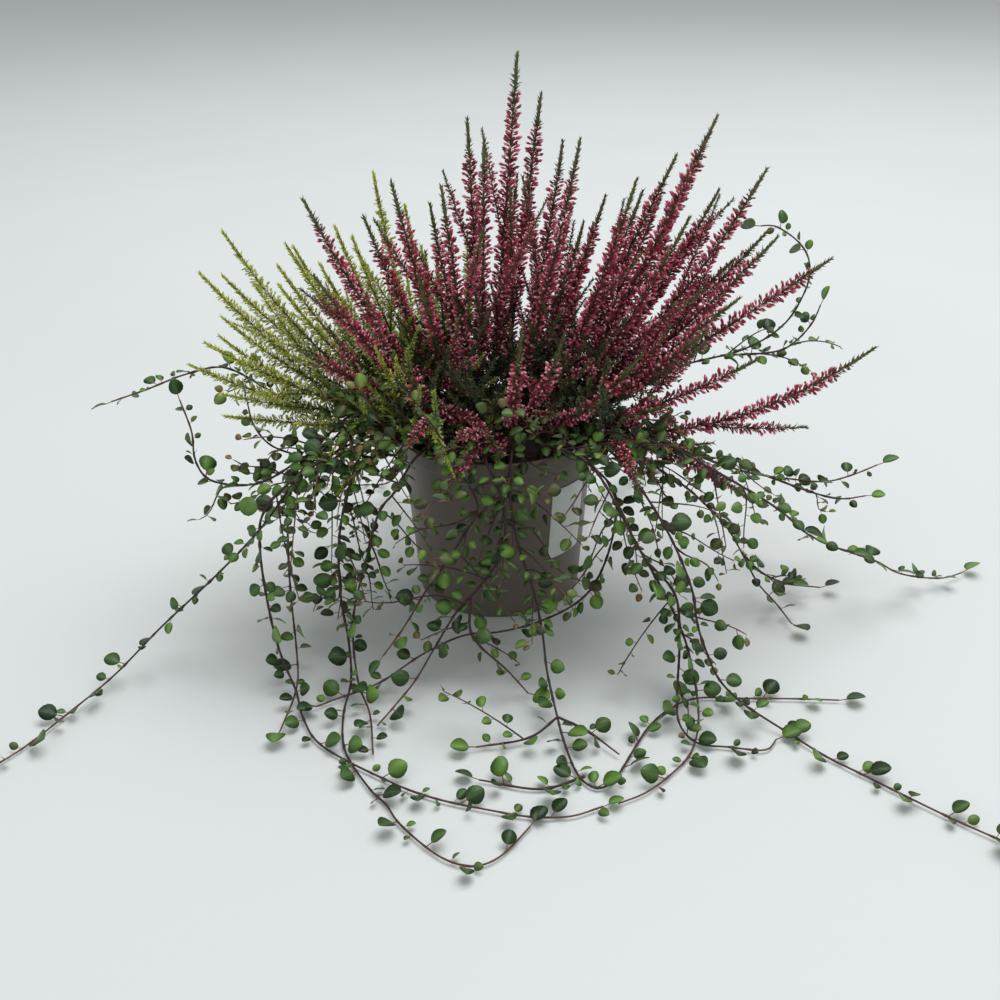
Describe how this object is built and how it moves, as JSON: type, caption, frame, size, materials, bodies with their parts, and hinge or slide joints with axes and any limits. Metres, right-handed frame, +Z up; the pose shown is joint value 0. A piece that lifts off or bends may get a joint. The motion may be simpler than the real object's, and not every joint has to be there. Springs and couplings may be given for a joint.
{
  "type": "potted heather",
  "caption": "Pink and white bud heather with a trailing wire vine, planted together in a round tapered plastic pot filled with soil.",
  "frame": {"origin": "centre of the pot's foot, on the surface that it stands on", "axes": "+Z up, +X to the plant's right as it is looked at from the front, +Y to its back"},
  "size_m": [0.619, 0.4731, 0.34],
  "materials": {
    "pot": "satin grey-brown plastic",
    "soil": "damp dark potting soil",
    "label": "plain white film",
    "pink_heather": "crimson-pink buds with dark green tips and leaves",
    "white_heather": "cream and lime buds with green leaves",
    "vine": "semi-gloss green leaves on dark red-brown stems"
  },
  "bodies": {
    "root": {"blank_label": "label", "pink_heather_spray_01": "pink_heather", "pink_heather_spray_02": "pink_heather", "pink_heather_spray_03": "pink_heather", "pink_heather_spray_04": "pink_heather", "pink_heather_spray_05": "pink_heather", "pink_heather_spray_06": "pink_heather", "pink_heather_spray_07": "pink_heather", "pink_heather_spray_08": "pink_heather", "pink_heather_spray_09": "pink_heather", "pink_heather_spray_10": "pink_heather", "pink_heather_spray_11": "pink_heather", "pink_heather_spray_12": "pink_heather", "pink_heather_spray_13": "pink_heather", "pink_heather_spray_14": "pink_heather", "pink_heather_spray_15": "pink_heather", "pink_heather_spray_16": "pink_heather", "pink_heather_spray_17": "pink_heather", "pink_heather_spray_18": "pink_heather", "pot": "pot", "soil": "soil", "vine_01": "vine", "vine_02": "vine", "vine_03": "vine", "vine_04": "vine", "vine_05": "vine", "vine_06": "vine", "vine_07": "vine", "vine_08": "vine", "vine_09": "vine", "vine_10": "vine", "vine_11": "vine", "vine_12": "vine", "vine_13": "vine", "vine_14": "vine", "vine_15": "vine", "vine_16": "vine", "vine_17": "vine", "vine_18": "vine", "white_heather_spray_01": "white_heather", "white_heather_spray_02": "white_heather", "white_heather_spray_03": "white_heather", "white_heather_spray_04": "white_heather", "white_heather_spray_05": "white_heather", "white_heather_spray_06": "white_heather", "white_heather_spray_07": "white_heather", "white_heather_spray_08": "white_heather", "white_heather_spray_09": "white_heather", "white_heather_spray_10": "white_heather", "white_heather_spray_11": "white_heather"}
  },
  "joints": []
}
